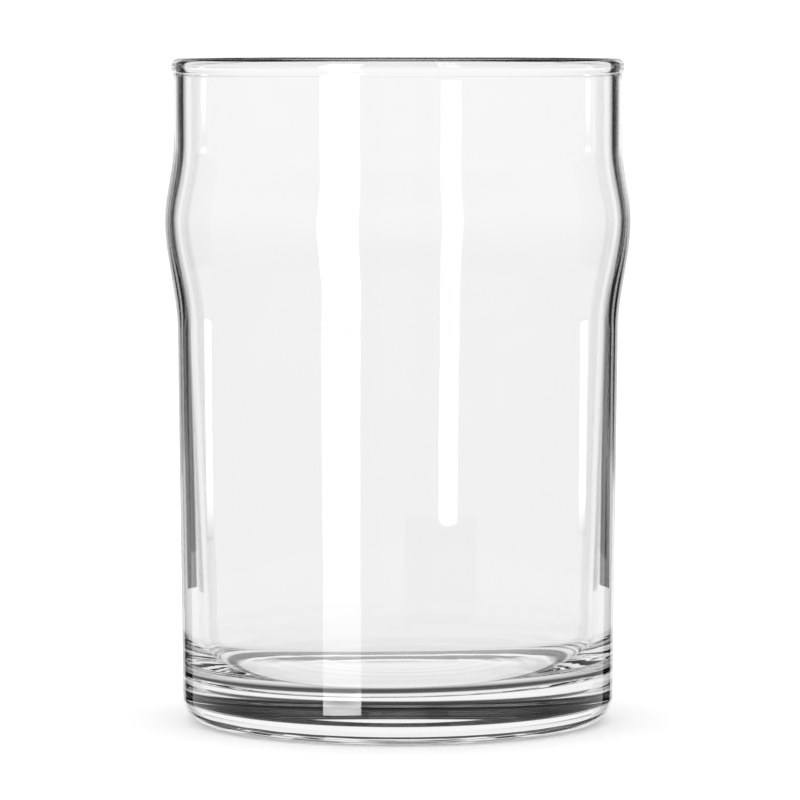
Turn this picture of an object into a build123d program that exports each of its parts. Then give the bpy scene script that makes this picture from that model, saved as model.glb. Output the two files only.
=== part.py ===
from build123d import *
import math
import os

# A straight-sided pint glass with a soft grip bulge below the rim.
# The glass is one moulding, divided at its natural stations into five zones
# that meet face to face.  Millimetres, +Z up, Z=0 on the table, axis on Z.

# ---- heights, measured up from the table ----
HEIGHT = 117.5            # table to the top of the rim
FLOOR_HEIGHT = 8.0        # table to the inside floor, the heavy base
HEEL_RADIUS = 4.5         # outside corner between wall and standing ring
PUNT_RISE = 1.2           # hollow under the base, at the centre

# ---- drops, measured down from the top of the rim ----
BEAD_WIDEST_DROP = 1.4    # widest point of the fire-polished bead
BEAD_DROP = 3.0           # bead fades into the neck
NECK_DROP = 15.2          # neck ends and the bulge begins
CREST_DROP = 28.6         # widest point of the bulge
WAIST_DROP = 47.8         # bulge ends and the plain wall begins

# ---- outside radii: the neck, and steps out or in from it ----
NECK_RADIUS = 39.65
BEAD_PROUD = 0.4          # bead stands out beyond the neck
BULGE_PROUD = 1.55        # bulge stands out beyond the neck
WAIST_STEP = 0.65         # wall under the bulge, in from the neck
HEEL_STEP = 1.45          # wall just above the heel, in from the neck

# ---- wall thicknesses, square to the axis ----
BEAD_WALL = 2.15
NECK_WALL = 1.7
BULGE_WALL = 1.45
WAIST_WALL = 1.95
LOWER_WALL = 2.75         # just above the inside corner

# ---- inside corner and underside ----
CORNER_WIDTH = 5.2        # inside corner between wall and floor, across
CORNER_HEIGHT = 9.0       # the same corner, from the floor up the wall
RING_WIDTH = 2.6          # flat face of the standing ring
RING_EDGE_RADIUS = 1.2    # rounds the ring into the punt

# ---- radii and stations that follow from the values above ----
BEAD_RADIUS = NECK_RADIUS + BEAD_PROUD
CREST_RADIUS = NECK_RADIUS + BULGE_PROUD
WAIST_RADIUS = NECK_RADIUS - WAIST_STEP
WALL_FOOT_RADIUS = NECK_RADIUS - HEEL_STEP
RING_OUTER_RADIUS = WALL_FOOT_RADIUS - HEEL_RADIUS
RING_INNER_RADIUS = RING_OUTER_RADIUS - RING_WIDTH

Z_BEAD_WIDEST = HEIGHT - BEAD_WIDEST_DROP
Z_BEAD = HEIGHT - BEAD_DROP
Z_NECK = HEIGHT - NECK_DROP
Z_CREST = HEIGHT - CREST_DROP
Z_WAIST = HEIGHT - WAIST_DROP
Z_CORNER = FLOOR_HEIGHT + CORNER_HEIGHT

NECK_BORE = NECK_RADIUS - NECK_WALL
CREST_BORE = CREST_RADIUS - BULGE_WALL
WAIST_BORE = WAIST_RADIUS - WAIST_WALL
FOOT_BORE = WALL_FOOT_RADIUS - LOWER_WALL
FLOOR_EDGE_RADIUS = FOOT_BORE - CORNER_WIDTH

# ---- directions in the half section, whose points are (radius, height) ----
UP = (0, 1)
DOWN = (0, -1)
OUT = (1, 0)
IN = (-1, 0)


def direction(start, end):
    """Direction from one point of the half section to another."""
    return tuple(b - a for a, b in zip(start, end))


def curve(start, start_direction, end, end_direction):
    """Smooth curve that leaves and arrives in the two directions given."""
    return Spline(start, end, tangents=(start_direction, end_direction))


def outside_wall():
    """From the foot of the wall up to the widest point of the bead."""
    foot = (WALL_FOOT_RADIUS, HEEL_RADIUS)
    waist = (WAIST_RADIUS, Z_WAIST)
    crest = (CREST_RADIUS, Z_CREST)
    neck_low = (NECK_RADIUS, Z_NECK)
    neck_high = (NECK_RADIUS, Z_BEAD)
    bead = (BEAD_RADIUS, Z_BEAD_WIDEST)
    return [
        Line(foot, waist),
        curve(waist, direction(foot, waist), crest, UP),
        curve(crest, UP, neck_low, UP),
        Line(neck_low, neck_high),
        curve(neck_high, UP, bead, UP),
    ]


def rim_top():
    """Round top of the bead, from its widest point over to the inside."""
    half = BEAD_WALL / 2
    bead_out = (BEAD_RADIUS, Z_BEAD_WIDEST)
    top = (BEAD_RADIUS - half, HEIGHT)
    bead_in = (BEAD_RADIUS - BEAD_WALL, Z_BEAD_WIDEST)
    return [curve(bead_out, UP, top, IN), curve(top, IN, bead_in, DOWN)]


def inside_wall():
    """From the inside of the bead down to the foot of the inside wall."""
    bead = (BEAD_RADIUS - BEAD_WALL, Z_BEAD_WIDEST)
    neck_high = (NECK_BORE, Z_BEAD)
    neck_low = (NECK_BORE, Z_NECK)
    crest = (CREST_BORE, Z_CREST)
    waist = (WAIST_BORE, Z_WAIST)
    foot = (FOOT_BORE, Z_CORNER)
    return [
        curve(bead, DOWN, neck_high, DOWN),
        Line(neck_high, neck_low),
        curve(neck_low, DOWN, crest, DOWN),
        curve(crest, DOWN, waist, direction(waist, foot)),
        Line(waist, foot),
    ]


def floor_and_punt():
    """Inside corner, floor, axis, hollow underside, standing ring and heel."""
    corner_low = (FLOOR_EDGE_RADIUS, FLOOR_HEIGHT)
    floor_centre = (0, FLOOR_HEIGHT)
    punt_centre = (0, PUNT_RISE)
    ring_in = (RING_INNER_RADIUS, 0)
    ring_out = (RING_OUTER_RADIUS, 0)
    foot = (WALL_FOOT_RADIUS, HEEL_RADIUS)

    # The inside corner is a quarter of an ellipse, taller than it is wide.
    corner_centre = (FLOOR_EDGE_RADIUS, Z_CORNER)
    inside_corner = EllipticalCenterArc(
        corner_centre, CORNER_WIDTH, CORNER_HEIGHT, start_angle=270, arc_size=90
    )

    # The punt is one large arc, square to the axis at the centre.  It stops
    # where a small arc takes over and rolls down on to the flat ring.
    dome_radius = (RING_INNER_RADIUS ** 2 + PUNT_RISE ** 2) / (2 * PUNT_RISE)
    slope = math.asin(RING_INNER_RADIUS / dome_radius)
    roll_start_radius = RING_INNER_RADIUS - RING_EDGE_RADIUS
    roll_start_z = PUNT_RISE - dome_radius + math.sqrt(dome_radius ** 2 - roll_start_radius ** 2)
    roll_start = (roll_start_radius, roll_start_z)
    roll_direction = (math.cos(slope), -math.sin(slope))
    return [
        inside_corner,
        Line(corner_low, floor_centre),
        Line(floor_centre, punt_centre),
        curve(punt_centre, OUT, roll_start, roll_direction),
        curve(roll_start, roll_direction, ring_in, OUT),
        Line(ring_in, ring_out),
        RadiusArc(ring_out, foot, -HEEL_RADIUS),
    ]


def whole_glass():
    outline = outside_wall() + rim_top() + inside_wall() + floor_and_punt()
    half_section = Plane.XZ * make_face(outline)
    return revolve(half_section, axis=Axis.Z)


def zone(glass, low, high):
    """The part of the glass between two heights."""
    slab_radius = CREST_RADIUS * 2
    slab = Pos(0, 0, (low + high) / 2) * Cylinder(slab_radius, high - low)
    return glass & slab


glass = whole_glass()
zones = {
    "heavy_base": (0, Z_CORNER),
    "side_wall": (Z_CORNER, Z_WAIST),
    "grip_bulge": (Z_WAIST, Z_NECK),
    "neck_wall": (Z_NECK, Z_BEAD),
    "rim_bead": (Z_BEAD, HEIGHT),
}

os.makedirs("parts", exist_ok=True)
for name, (low, high) in zones.items():
    part = zone(glass, low, high)
    part.label = name
    export_step(part, f"parts/{name}.step")
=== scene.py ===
import math

import bpy
import numpy as np
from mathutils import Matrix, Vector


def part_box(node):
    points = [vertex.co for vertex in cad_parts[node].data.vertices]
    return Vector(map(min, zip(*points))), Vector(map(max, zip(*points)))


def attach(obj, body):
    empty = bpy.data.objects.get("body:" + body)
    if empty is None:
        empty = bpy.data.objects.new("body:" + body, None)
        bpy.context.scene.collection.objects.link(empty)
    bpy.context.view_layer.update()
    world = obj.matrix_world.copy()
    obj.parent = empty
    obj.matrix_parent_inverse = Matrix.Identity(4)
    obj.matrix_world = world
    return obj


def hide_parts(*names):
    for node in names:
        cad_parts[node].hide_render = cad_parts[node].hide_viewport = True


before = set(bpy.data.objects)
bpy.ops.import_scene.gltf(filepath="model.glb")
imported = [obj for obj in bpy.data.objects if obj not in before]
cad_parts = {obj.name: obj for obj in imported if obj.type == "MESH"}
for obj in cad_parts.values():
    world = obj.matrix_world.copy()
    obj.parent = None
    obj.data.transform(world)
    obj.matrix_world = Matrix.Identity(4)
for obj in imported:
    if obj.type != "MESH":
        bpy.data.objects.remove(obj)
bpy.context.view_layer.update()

MM = 0.001

# ---- stations of the glass, read from the CAD nodes (metres) ----
BASE, WALL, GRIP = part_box("heavy_base"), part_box("side_wall"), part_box("grip_bulge")
NECK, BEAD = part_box("neck_wall"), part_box("rim_bead")
Z_TOP = BEAD[1][2]
Z_BEAD = NECK[1][2]
Z_NECK = NECK[0][2]
Z_WAIST = WALL[1][2]
Z_CORNER = BASE[1][2]
R_BEAD = BEAD[1][0]
R_NECK = NECK[1][0]
R_CREST = GRIP[1][0]
R_WAIST = WALL[1][0]

# ---- sizes of the section that the nodes' boxes don't give ----
HEEL_RADIUS = 4.5 * MM
HEEL_STEP = 1.45 * MM
CREST_DROP = 28.6 * MM
BEAD_WIDEST_DROP = 1.4 * MM
BEAD_WALL = 2.15 * MM
NECK_WALL = 1.7 * MM
CREST_WALL = 1.45 * MM
WAIST_WALL = 1.95 * MM
FOOT_WALL = 2.75 * MM
CORNER_WIDTH = 5.2 * MM
CORNER_HEIGHT = 9.0 * MM
RING_WIDTH = 2.6 * MM
RING_EDGE = 1.2 * MM
PUNT_RISE = 1.2 * MM

# ---- radii and stations that follow from the values above ----
R_FOOT = R_NECK - HEEL_STEP
Z_CREST = Z_TOP - CREST_DROP
Z_BEAD_WIDEST = Z_TOP - BEAD_WIDEST_DROP
Z_FLOOR = Z_CORNER - CORNER_HEIGHT
R_BORE_FOOT = R_FOOT - FOOT_WALL
R_FLOOR = R_BORE_FOOT - CORNER_WIDTH
R_RING_OUT = R_FOOT - HEEL_RADIUS
R_RING_IN = R_RING_OUT - RING_WIDTH

# ---- how the moulding differs from a perfect turning ----
FLOOR_TILT = 0.014             # rise of the inside floor per metre towards +X
TILT_END = 12 * MM             # how far above the inside corner the tilt dies out
RIPPLE = 0.02 * MM             # shallow rings pressed into the inside floor
RIPPLE_PITCH = 1500            # their phase, radians per metre of radius
WAVE = 0.015 * MM              # slow waves in the wall, inside and out
INNER_SHARE = 1.6              # the waves are this much deeper inside
# each wave: share, lobes round the axis, radians per metre of height, phase
WAVES = [(1.0, 3, 40, 0.4), (0.6, 5, -65, 2.1), (0.4, 0, 90, 1.0)]

TURNS = 512                    # steps round the axis

# ---- glass ----
GLASS_IOR = 1.52
TINT_LOW = (0.985, 0.99, 0.987, 1)
TINT_HIGH = (0.996, 0.998, 0.996, 1)
UNEVEN_SCALE = 70
UNEVEN_DEPTH = 0.03 * MM
# how strongly the unevenness shows, by height in metres
UNEVEN = [(0, 0.0), (0.02, 0.0), (0.04, 0.1), (0.12, 0.1)]

# ---- studio: brightness by degrees away from straight behind the glass ----
WALLS = [(0, 1.0), (19, 1.0), (21, 0.08), (23, 0.03), (36, 0.03), (38, 0.9),
         (60, 0.85), (91, 0.47), (120, 0.37), (180, 0.34)]
# the least brightness for light that has been through the glass
WALLS_THROUGH = [(0, 0.0), (38, 0.0), (60, 0.85), (180, 0.85)]
# the same well below the glass: pale, with a dark gap every GAP_SPACING degrees
GAPS = [(0, 0.95), (16, 0.95), (19, 0.1), (22.5, 0.04)]
GAP_SPACING = 45
GAPS_BELOW = -9.5              # degrees of elevation
# share of the brightness kept, by degrees of elevation, for plain and for trapped light
CEILING = [(-90, 0.93), (-5.2, 0.93), (-3.5, 0.945), (-1, 0.98), (14, 1.0), (22, 0.6), (90, 0.6)]
CEILING_TRAPPED = [(-90, 1.0), (14, 1.0), (19, 0.04), (90, 0.02)]
ROOM_STRENGTH = 1.3            # what lights the floor
FLOOR_SIZE = 8
FLOOR_WHITE = (0.94, 0.94, 0.94, 1)

# ---- screen behind the base: its shape, and brightness by height in metres ----
REFLECTOR_RADIUS = 0.10
REFLECTOR_HEIGHT = 0.09
REFLECTOR_HALF_ANGLE = 35
REFLECTOR = [(0, 0.97), (0.016, 0.97), (0.02, 0.05), (0.09, 0.03)]
REFLECTOR_TRAPPED = [(0, 0.97), (0.03, 0.97), (0.034, 0.05), (0.09, 0.03)]

# ---- table top that glows in place of being lit: outline, and brightness by distance from the axis in metres, with a painted shadow ring under the glass ----
TABLE_RADIUS = 0.205
TABLE_CENTRE = -0.035
TABLE_Z = -0.3 * MM
# painted contact shadow: a dark ring under the glass's standing ring, then painted shade that lightens out to
# about 0.06 m
TABLE_GLOW_AND_PAINTED_SHADOW = [(0, 0.93), (0.0295, 0.93), (0.031, 0.1), (0.0345, 0.06),
         (0.037, 0.85), (0.06, 0.91), (0.2, 0.93)]

# ---- upright cards: azimuths and widths in degrees, and brightness by height in metres ----
CARD_DISTANCE = 0.9
CARD_SOFT = 0.02               # fading edge of a lamp
SOFTBOX_SOFT = 0.006           # fading edge of a softbox
SCREEN_SOFT = 0.0001           # a screen's edge is sharp
SOFTBOX_AZIMUTH = -29
SOFTBOX_WIDTH = 20.6
SOFTBOX = [(-0.6, 9), (-0.127, 9), (-0.1245, 17), (-0.1222, 17), (-0.1205, 3),
           (-0.101, 2.8), (-0.087, 3.3), (-0.068, 5), (-0.052, 9), (0.9, 9)]
FAR_AZIMUTH = -29.5
FAR_WIDTH = 12
FAR = [(-0.6, 5), (0.45, 5)]
LOW_SCREEN_DISTANCE = 0.06
LOW_SCREEN_WIDTH = 60
LOW_SCREEN_SHIFT = 9.5 * MM
LOW_SCREEN = [(-0.02, 0.4), (0.0018, 0.4)]
FLAG_DISTANCE = 0.09
FLAG_WIDTH = 50
FLAG = [(-0.1, 0), (0.019, 0)]
FLAG_NOTCH = (-9.4 * MM, 11.4 * MM, 1.6 * MM)
LAMP_LOW_WIDTH = 8
LAMP_LOW = [(-0.062, 0), (-0.045, 5), (0.01, 5), (0.036, 4)]
LAMP_HIGH_WIDTH = 6
LAMP_HIGH = [(0.083, 0), (0.104, 4), (0.118, 5)]
LAMP_SCREEN_DISTANCE = 0.036
LAMP_SCREEN_WIDTH = 16
LAMP_SCREEN = [(0.0785, 0.4), (0.1015, 0.4)]
# each lamp: side, azimuth, and how far its screen stands off the lamp's line
LAMPS = [("left", -115.5, 34.6 * MM), ("right", 112.0, -34.0 * MM)]

# ---- camera ----
LENS = 236.4
SENSOR = 36
CAMERA_X = 0.39 * MM
CAMERA_DISTANCE = 0.93
CAMERA_RISE = 4.5 * MM         # above the rim
CAMERA_PITCH = 4.0             # degrees down


# ---------------------------------------------------------------- section
# The last argument of each stretch is its number of steps, and its end point is left out.
def hermite(p0, d0, p1, d1, n):
    """Cubic from p0 to p1 that leaves along d0 and arrives along d1."""
    p0, p1 = np.array(p0), np.array(p1)
    chord = np.linalg.norm(p1 - p0)
    d0 = np.array(d0) / np.linalg.norm(d0) * chord
    d1 = np.array(d1) / np.linalg.norm(d1) * chord
    t = np.linspace(0, 1, n, endpoint=False)[:, None]
    return (
        (2 * t**3 - 3 * t**2 + 1) * p0
        + (t**3 - 2 * t**2 + t) * d0
        + (3 * t**2 - 2 * t**3) * p1
        + (t**3 - t**2) * d1
    )


def line(p0, p1, n):
    t = np.linspace(0, 1, n, endpoint=False)[:, None]
    return np.array(p0) * (1 - t) + np.array(p1) * t


def arc(centre, radii, start, end, n):
    """Elliptical arc between two angles in degrees."""
    a = np.radians(np.linspace(start, end, n, endpoint=False))
    return np.array(centre) + np.array(radii) * np.column_stack([np.cos(a), np.sin(a)])


UP, DOWN, OUT, IN = (0, 1), (0, -1), (1, 0), (-1, 0)


def underside():
    """Punt dome, the roll on to the standing ring, the ring and the heel."""
    dome = (R_RING_IN**2 + PUNT_RISE**2) / (2 * PUNT_RISE)
    slope = math.asin(R_RING_IN / dome)
    r_roll = R_RING_IN - RING_EDGE
    z_roll = PUNT_RISE - dome + math.sqrt(dome**2 - r_roll**2)
    roll_direction = (math.cos(slope), -math.sin(slope))
    return [
        hermite((0, PUNT_RISE), OUT, (r_roll, z_roll), roll_direction, 60),
        hermite((r_roll, z_roll), roll_direction, (R_RING_IN, 0), OUT, 10),
        line((R_RING_IN, 0), (R_RING_OUT, 0), 6),
        arc((R_RING_OUT, HEEL_RADIUS), (HEEL_RADIUS, HEEL_RADIUS), -90, 0, 32),
    ]


def outside():
    """From the top of the heel up to the widest point of the bead."""
    foot, waist = (R_FOOT, HEEL_RADIUS), (R_WAIST, Z_WAIST)
    crest, bead = (R_CREST, Z_CREST), (R_BEAD, Z_BEAD_WIDEST)
    neck_low, neck_high = (R_NECK, Z_NECK), (R_NECK, Z_BEAD)
    return [
        line(foot, waist, 90),
        hermite(waist, np.subtract(waist, foot), crest, UP, 36),
        hermite(crest, UP, neck_low, UP, 30),
        line(neck_low, neck_high, 12),
        hermite(neck_high, UP, bead, UP, 12),
    ]


def rim():
    """Over the top of the bead, from its widest point outside to the one inside."""
    bead_out, bead_in = (R_BEAD, Z_BEAD_WIDEST), (R_BEAD - BEAD_WALL, Z_BEAD_WIDEST)
    top = (R_BEAD - BEAD_WALL / 2, Z_TOP)
    return [hermite(bead_out, UP, top, IN, 16), hermite(top, IN, bead_in, DOWN, 16)]


def inside():
    """From the inside of the bead down the bore, round the corner and in to the floor's centre."""
    bead = (R_BEAD - BEAD_WALL, Z_BEAD_WIDEST)
    high, low = (R_NECK - NECK_WALL, Z_BEAD), (R_NECK - NECK_WALL, Z_NECK)
    crest = (R_CREST - CREST_WALL, Z_CREST)
    waist, foot = (R_WAIST - WAIST_WALL, Z_WAIST), (R_BORE_FOOT, Z_CORNER)
    return [
        hermite(bead, DOWN, high, DOWN, 12),
        line(high, low, 12),
        hermite(low, DOWN, crest, DOWN, 30),
        hermite(crest, DOWN, waist, np.subtract(foot, waist), 36),
        line(waist, foot, 90),
        arc((R_FLOOR, Z_CORNER), (CORNER_WIDTH, CORNER_HEIGHT), 0, -90, 48),
        line((R_FLOOR, Z_FLOOR), (0, Z_FLOOR), 90),
        np.array([[0, Z_FLOOR]]),
    ]


def fade(value, start, end):
    """Smooth step from 0 at start to 1 at end."""
    t = np.clip((value - start) / (end - start), 0, 1)
    return t * t * (3 - 2 * t)


def floor_change(x, r, z, turn, inner):
    """How much higher the tilt and the ripple put each point of the inside."""
    deep = inner * (1 - fade(z, Z_FLOOR + 0.2 * MM, Z_CORNER + TILT_END))
    rings = np.sin(r * RIPPLE_PITCH + 1.3 * np.sin(2 * turn + 0.7)) * fade(r, 8 * MM, 20 * MM)
    on_floor = inner * (z < Z_FLOOR + 0.1 * MM)
    rings *= np.where(on_floor, 1 - fade(r, R_FLOOR - 3 * MM, R_FLOOR), 0)
    return deep * FLOOR_TILT * x + RIPPLE * rings


def wall_change(z, turn, inner):
    """How much further out the waves put each point of the wall; the outside only moves in."""
    wall = fade(z, HEEL_RADIUS, 20 * MM) * (1 - fade(z, Z_BEAD - 6 * MM, Z_BEAD))
    waves = sum(share * np.sin(lobes * turn + pitch * z + phase) for share, lobes, pitch, phase in WAVES)
    depth = WAVE * wall * waves
    return -np.abs(depth) * (1 - inner) + depth * inner * INNER_SHARE


def settle(x, y, z, inner):
    """Give the true turning its tilt, ripple and waves."""
    r = np.hypot(x, y)
    turn = np.arctan2(y, x)
    z = z + floor_change(x, r, z, turn, inner)
    outward = wall_change(z, turn, inner)
    scale = 1 + np.divide(outward, r, out=np.zeros_like(r), where=r > MM)
    return x * scale, y * scale, z


def lathe(name):
    """Closed mesh of revolution of the section."""
    outer, inner = np.vstack(underside() + outside() + rim()), np.vstack(inside())
    points = np.vstack([outer, inner])
    is_inner = np.arange(len(points)) >= len(outer)
    angles = np.linspace(0, 2 * math.pi, TURNS, endpoint=False)
    r, z = points[1:-1, 0], points[1:-1, 1]
    x = np.outer(r, np.cos(angles))
    y = np.outer(r, np.sin(angles))
    height = np.repeat(z[:, None], TURNS, axis=1)
    side = np.repeat(is_inner[1:-1, None], TURNS, axis=1)
    body = np.stack(settle(x, y, height, side), axis=-1).reshape(-1, 3)
    verts = np.vstack([[[0, 0, points[0, 1]]], body, [[0, 0, points[-1, 1]]]])
    faces = []
    last = len(verts) - 1
    rings = len(points) - 2

    def v(i, j):
        return 1 + i * TURNS + j % TURNS

    for j in range(TURNS):
        faces.append((0, v(0, j + 1), v(0, j)))
        faces.append((last, v(rings - 1, j), v(rings - 1, j + 1)))
    for i in range(rings - 1):
        for j in range(TURNS):
            faces.append((v(i, j), v(i, j + 1), v(i + 1, j + 1), v(i + 1, j)))
    mesh = bpy.data.meshes.new(name)
    mesh.from_pydata(verts.tolist(), [], faces)
    mesh.polygons.foreach_set("use_smooth", [True] * len(mesh.polygons))
    mesh.update()
    obj = bpy.data.objects.new(name, mesh)
    bpy.context.scene.collection.objects.link(obj)
    return obj


# ------------------------------------------------------------------ nodes
def math_node(tree, operation, *values):
    node = tree.nodes.new("ShaderNodeMath")
    node.operation = operation
    for socket, value in zip(node.inputs, values):
        if isinstance(value, (int, float)):
            socket.default_value = value
        else:
            tree.links.new(value, socket)
    return node.outputs[0]


def ramp(tree, value, stops):
    """Grey ramp through the (place, level) stops; the places may be in any unit."""
    low, high = stops[0][0], stops[-1][0]
    place = math_node(tree, "DIVIDE", math_node(tree, "SUBTRACT", value, float(low)), float(high - low))
    node = tree.nodes.new("ShaderNodeValToRGB")
    elements = node.color_ramp.elements
    while len(elements) > 1:
        elements.remove(elements[-1])
    elements[0].position, elements[0].color = 0, (*[stops[0][1]] * 3, 1)
    for at, level in stops[1:]:
        elements.new((at - low) / (high - low)).color = (*[level] * 3, 1)
    tree.links.new(place, node.inputs[0])
    return node.outputs[0]


def blend(tree, share, first, second):
    node = tree.nodes.new("ShaderNodeMix")
    for value, socket in ((share, 0), (first, 2), (second, 3)):
        tree.links.new(value, node.inputs[socket])
    return node.outputs[0]


def place_of(tree, kind):
    """The x, y and z sockets of the texture coordinate of that kind."""
    coords = tree.nodes.new("ShaderNodeTexCoord")
    split = tree.nodes.new("ShaderNodeSeparateXYZ")
    tree.links.new(coords.outputs[kind], split.inputs[0])
    return split.outputs


# A ray's depth counts how often it was bent (Transmission), mirrored (Glossy) or scattered (Diffuse).
def more_than(tree, rays, kind, times):
    return math_node(tree, "GREATER_THAN", rays.outputs[kind + " Depth"], times + 0.5)


def at_most(tree, rays, kind, times):
    return math_node(tree, "LESS_THAN", rays.outputs[kind + " Depth"], times + 0.5)


# --------------------------------------------------------------- material
def glass_material():
    """Clear soda-lime glass, faintly uneven in its wall and in its colour."""
    mat = bpy.data.materials.new("clear_glass")
    mat.use_nodes = True
    tree = mat.node_tree
    bsdf = tree.nodes["Principled BSDF"]
    bsdf.inputs["Roughness"].default_value = 0.0
    bsdf.inputs["IOR"].default_value = GLASS_IOR
    bsdf.inputs["Transmission Weight"].default_value = 1.0
    coords = tree.nodes.new("ShaderNodeTexCoord")
    noise = tree.nodes.new("ShaderNodeTexNoise")
    noise.inputs["Scale"].default_value = UNEVEN_SCALE
    noise.inputs["Detail"].default_value = 1
    tree.links.new(coords.outputs["Object"], noise.inputs["Vector"])
    tint = tree.nodes.new("ShaderNodeMix")
    tint.data_type = "RGBA"
    tint.inputs[6].default_value = TINT_LOW
    tint.inputs[7].default_value = TINT_HIGH
    tree.links.new(noise.outputs["Fac"], tint.inputs[0])
    tree.links.new(tint.outputs[2], bsdf.inputs["Base Color"])
    bump = tree.nodes.new("ShaderNodeBump")
    bump.inputs["Distance"].default_value = UNEVEN_DEPTH
    tree.links.new(ramp(tree, place_of(tree, "Object")[2], UNEVEN), bump.inputs["Strength"])
    tree.links.new(noise.outputs["Fac"], bump.inputs["Height"])
    tree.links.new(bump.outputs[0], bsdf.inputs["Normal"])
    return mat


# ------------------------------------------------------------------ stage
def studio_level(tree, rays):
    """Brightness of the studio that the glass bends or mirrors."""
    x, y, z = place_of(tree, "Generated")
    turn = math_node(tree, "ABSOLUTE", math_node(tree, "DEGREES", math_node(tree, "ARCTAN2", x, y)))
    rise = math_node(tree, "DEGREES", math_node(tree, "ARCSINE", z))
    through = more_than(tree, rays, "Transmission", 1)
    sides = math_node(tree, "MULTIPLY", ramp(tree, turn, WALLS_THROUGH), through)
    walls = math_node(tree, "MAXIMUM", ramp(tree, turn, WALLS), sides)
    gaps = ramp(tree, math_node(tree, "PINGPONG", turn, GAP_SPACING / 2), GAPS)
    below = math_node(tree, "LESS_THAN", rise, GAPS_BELOW)
    low = math_node(tree, "MULTIPLY", below, at_most(tree, rays, "Glossy", 0))
    trapped = more_than(tree, rays, "Glossy", 1)
    ceiling = blend(tree, trapped, ramp(tree, rise, CEILING), ramp(tree, rise, CEILING_TRAPPED))
    return math_node(tree, "MULTIPLY", blend(tree, low, walls, gaps), ceiling)


def studio_world():
    """White surroundings for the floor, and a studio with dark flags for what the glass shows."""
    world = bpy.data.worlds.new("studio")
    bpy.context.scene.world = world
    world.use_nodes = True
    tree = world.node_tree
    tree.nodes.clear()
    rays = tree.nodes.new("ShaderNodeLightPath")
    pattern = tree.nodes.new("ShaderNodeBackground")
    tree.links.new(studio_level(tree, rays), pattern.inputs["Color"])
    white = tree.nodes.new("ShaderNodeBackground")
    white.inputs["Color"].default_value = (1, 1, 1, 1)
    white.inputs["Strength"].default_value = ROOM_STRENGTH
    bent = math_node(tree, "MAXIMUM", rays.outputs["Is Glossy Ray"], rays.outputs["Is Transmission Ray"])
    shown = math_node(tree, "MULTIPLY", bent, at_most(tree, rays, "Diffuse", 0))
    mix = tree.nodes.new("ShaderNodeMixShader")
    for value, socket in ((shown, 0), (white.outputs[0], 1), (pattern.outputs[0], 2)):
        tree.links.new(value, mix.inputs[socket])
    out = tree.nodes.new("ShaderNodeOutputWorld")
    tree.links.new(mix.outputs[0], out.inputs[0])


def floor():
    """White floor that the glass doesn't show; light bent by the glass meets the table top instead."""
    bpy.ops.mesh.primitive_plane_add(size=FLOOR_SIZE, location=(0, 0, 0))
    plane = bpy.context.object
    plane.name = "floor"
    mat = bpy.data.materials.new("floor")
    mat.use_nodes = True
    bsdf = mat.node_tree.nodes["Principled BSDF"]
    bsdf.inputs["Base Color"].default_value = FLOOR_WHITE
    bsdf.inputs["Roughness"].default_value = 0.9
    bsdf.inputs["Specular IOR Level"].default_value = 0.0
    plane.data.materials.append(mat)
    plane.visible_glossy = False
    plane.visible_transmission = False


# Which light a card shows itself to, by how often it was bent and mirrored on its way.
def mirrored_outside(tree, rays):
    return at_most(tree, rays, "Transmission", 0)


def mirrored_by_far_wall(tree, rays):
    once = at_most(tree, rays, "Glossy", 1)
    return math_node(tree, "MULTIPLY", once, more_than(tree, rays, "Transmission", 5))


def all_but_far_wall(tree, rays):
    mirrored = more_than(tree, rays, "Glossy", 0)
    far = math_node(tree, "MULTIPLY", mirrored, more_than(tree, rays, "Transmission", 3))
    return math_node(tree, "SUBTRACT", 1.0, far)


def inside_the_glass(tree, rays):
    entered = more_than(tree, rays, "Transmission", 0)
    return math_node(tree, "MULTIPLY", entered, at_most(tree, rays, "Transmission", 2))


def glowing(name, verts, faces, level, gate):
    """Card that only the glass shows; level is a function of the card's own x, y and z sockets."""
    mesh = bpy.data.meshes.new(name)
    mesh.from_pydata(verts, [], faces)
    obj = bpy.data.objects.new(name, mesh)
    bpy.context.scene.collection.objects.link(obj)
    mat = bpy.data.materials.new(name)
    mat.use_nodes = True
    tree = mat.node_tree
    tree.nodes.clear()
    rays = tree.nodes.new("ShaderNodeLightPath")
    glow = tree.nodes.new("ShaderNodeEmission")
    tree.links.new(level(tree, *place_of(tree, "Object")), glow.inputs["Strength"])
    clear = tree.nodes.new("ShaderNodeBsdfTransparent")
    mix = tree.nodes.new("ShaderNodeMixShader")
    for value, socket in ((gate(tree, rays), 0), (clear.outputs[0], 1), (glow.outputs[0], 2)):
        tree.links.new(value, mix.inputs[socket])
    out = tree.nodes.new("ShaderNodeOutputMaterial")
    tree.links.new(mix.outputs[0], out.inputs[0])
    mat.cycles.emission_sampling = "NONE"
    mesh.materials.append(mat)
    obj.visible_camera = False
    obj.visible_diffuse = False
    obj.visible_shadow = False
    return obj


def table_with_painted_shadow():
    """White table top that glows in place of being lit, dark with a painted shadow where the glass stands on
    it.
    """
    turns = np.linspace(0, 2 * math.pi, 96, endpoint=False)
    edge = [(TABLE_RADIUS * math.cos(t), TABLE_RADIUS * math.sin(t) + TABLE_CENTRE, TABLE_Z) for t in turns]

    def level(tree, x, y, z):
        squares = [math_node(tree, "MULTIPLY", side, side) for side in (x, y)]
        return ramp(tree, math_node(tree, "SQRT", math_node(tree, "ADD", *squares)), TABLE_GLOW_AND_PAINTED_SHADOW)

    top = glowing("table_with_painted_shadow", edge, [tuple(range(len(edge)))], level, all_but_far_wall)
    top.visible_glossy = False


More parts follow.
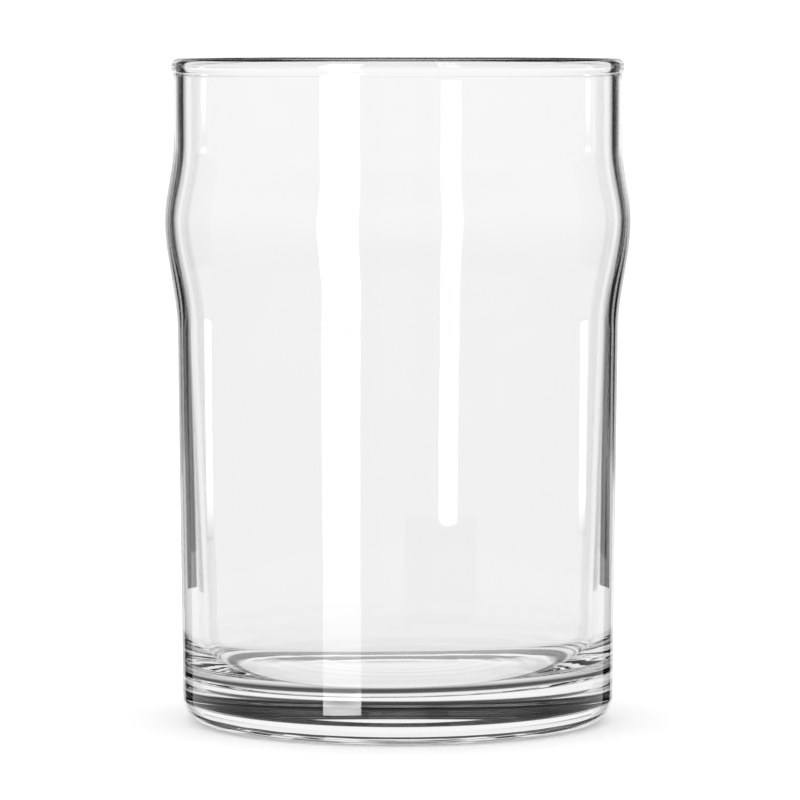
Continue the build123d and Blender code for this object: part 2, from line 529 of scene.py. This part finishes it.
def reflector():
    """Screen close behind the base, pale low down and dark above, that only the base shows."""
    half = math.radians(REFLECTOR_HALF_ANGLE)
    turns = np.linspace(-half, half, 32)
    verts = [
        (REFLECTOR_RADIUS * math.sin(t), REFLECTOR_RADIUS * math.cos(t), z)
        for z in (0, REFLECTOR_HEIGHT)
        for t in turns
    ]
    n = len(turns)
    faces = [(i, i + 1, n + i + 1, n + i) for i in range(n - 1)]

    def level(tree, x, y, z):
        trapped = more_than(tree, tree.nodes.new("ShaderNodeLightPath"), "Glossy", 0)
        return blend(tree, trapped, ramp(tree, z, REFLECTOR), ramp(tree, z, REFLECTOR_TRAPPED))

    glowing("reflector", verts, faces, level, inside_the_glass)


def upright(name, azimuth, width, stops, gate, distance=CARD_DISTANCE, shift=0.0, soft=CARD_SOFT, notch=None):
    """Upright softbox, lamp, screen or flag; azimuth is from the camera side, to the right.

    Its brightness follows the (height, level) stops, and soft is the fading edge at each side.
    A shift moves it along its own width.
    A notch is an oval cut in its top edge: where its middle is, half its width and its depth.
    """
    half = distance * math.tan(math.radians(width / 2))
    low, high = stops[0][0], stops[-1][0]
    verts = [(-half, low, 0), (half, low, 0), (half, high, 0)]
    if notch:
        middle, reach, depth = notch
        turns = np.linspace(0, -math.pi, 17)
        verts += [(middle + reach * math.cos(t), high + depth * math.sin(t), 0) for t in turns]
    verts.append((-half, high, 0))

    def level(tree, x, y, z):
        edge = math_node(tree, "SUBTRACT", half, math_node(tree, "ABSOLUTE", x))
        edge = math_node(tree, "MINIMUM", math_node(tree, "DIVIDE", edge, soft), 1.0)
        top = max(value for _, value in stops) or 1.0
        steps = ramp(tree, y, [(at, value / top) for at, value in stops])
        return math_node(tree, "MULTIPLY", math_node(tree, "MULTIPLY", edge, steps), float(top))

    obj = glowing(name, verts, [tuple(range(len(verts)))], level, gate)
    a = math.radians(azimuth)
    obj.location = (
        distance * math.sin(a) + shift * math.cos(a),
        -distance * math.cos(a) + shift * math.sin(a),
        0,
    )
    obj.rotation_euler = (math.pi / 2, 0, a)


def lights():
    """Softbox mirrored by the near wall and by the far wall, and a lamp at each side.

    The low screen and the flag end the two softbox strips low down on the glass, and
    the screens beside the lamps keep the lamps off the bulge.
    """
    upright("softbox_left", SOFTBOX_AZIMUTH, SOFTBOX_WIDTH, SOFTBOX, mirrored_outside, soft=SOFTBOX_SOFT)
    upright("screen_low", SOFTBOX_AZIMUTH, LOW_SCREEN_WIDTH, LOW_SCREEN, mirrored_outside,
            distance=LOW_SCREEN_DISTANCE, shift=LOW_SCREEN_SHIFT, soft=SCREEN_SOFT)
    upright("softbox_far", FAR_AZIMUTH, FAR_WIDTH, FAR, mirrored_by_far_wall, soft=SOFTBOX_SOFT)
    upright("flag", FAR_AZIMUTH, FLAG_WIDTH, FLAG, mirrored_by_far_wall,
            distance=FLAG_DISTANCE, notch=FLAG_NOTCH)
    for side, azimuth, shift in LAMPS:
        upright("lamp_low_" + side, azimuth, LAMP_LOW_WIDTH, LAMP_LOW, mirrored_outside)
        upright("lamp_high_" + side, azimuth, LAMP_HIGH_WIDTH, LAMP_HIGH, mirrored_outside)
        upright("screen_" + side, azimuth, LAMP_SCREEN_WIDTH, LAMP_SCREEN, mirrored_outside,
                distance=LAMP_SCREEN_DISTANCE, shift=shift, soft=SCREEN_SOFT)


def camera():
    data = bpy.data.cameras.new("camera")
    data.lens = LENS
    data.sensor_width = SENSOR
    cam = bpy.data.objects.new("camera", data)
    bpy.context.scene.collection.objects.link(cam)
    cam.location = (CAMERA_X, -CAMERA_DISTANCE, Z_TOP + CAMERA_RISE)
    cam.rotation_euler = (math.radians(90 - CAMERA_PITCH), 0, 0)
    bpy.context.scene.camera = cam


glass = lathe("pint_glass")
glass.data.materials.append(glass_material())
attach(glass, "root")
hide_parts("heavy_base", "side_wall", "grip_bulge", "neck_wall", "rim_bead")

studio_world()
floor()
table_with_painted_shadow()
reflector()
lights()
camera()

scene = bpy.context.scene
scene.cycles.max_bounces = 24
scene.cycles.transmission_bounces = 24
scene.cycles.glossy_bounces = 16
scene.cycles.diffuse_bounces = 3
scene.cycles.use_denoising = True
scene.view_settings.view_transform = "Standard"
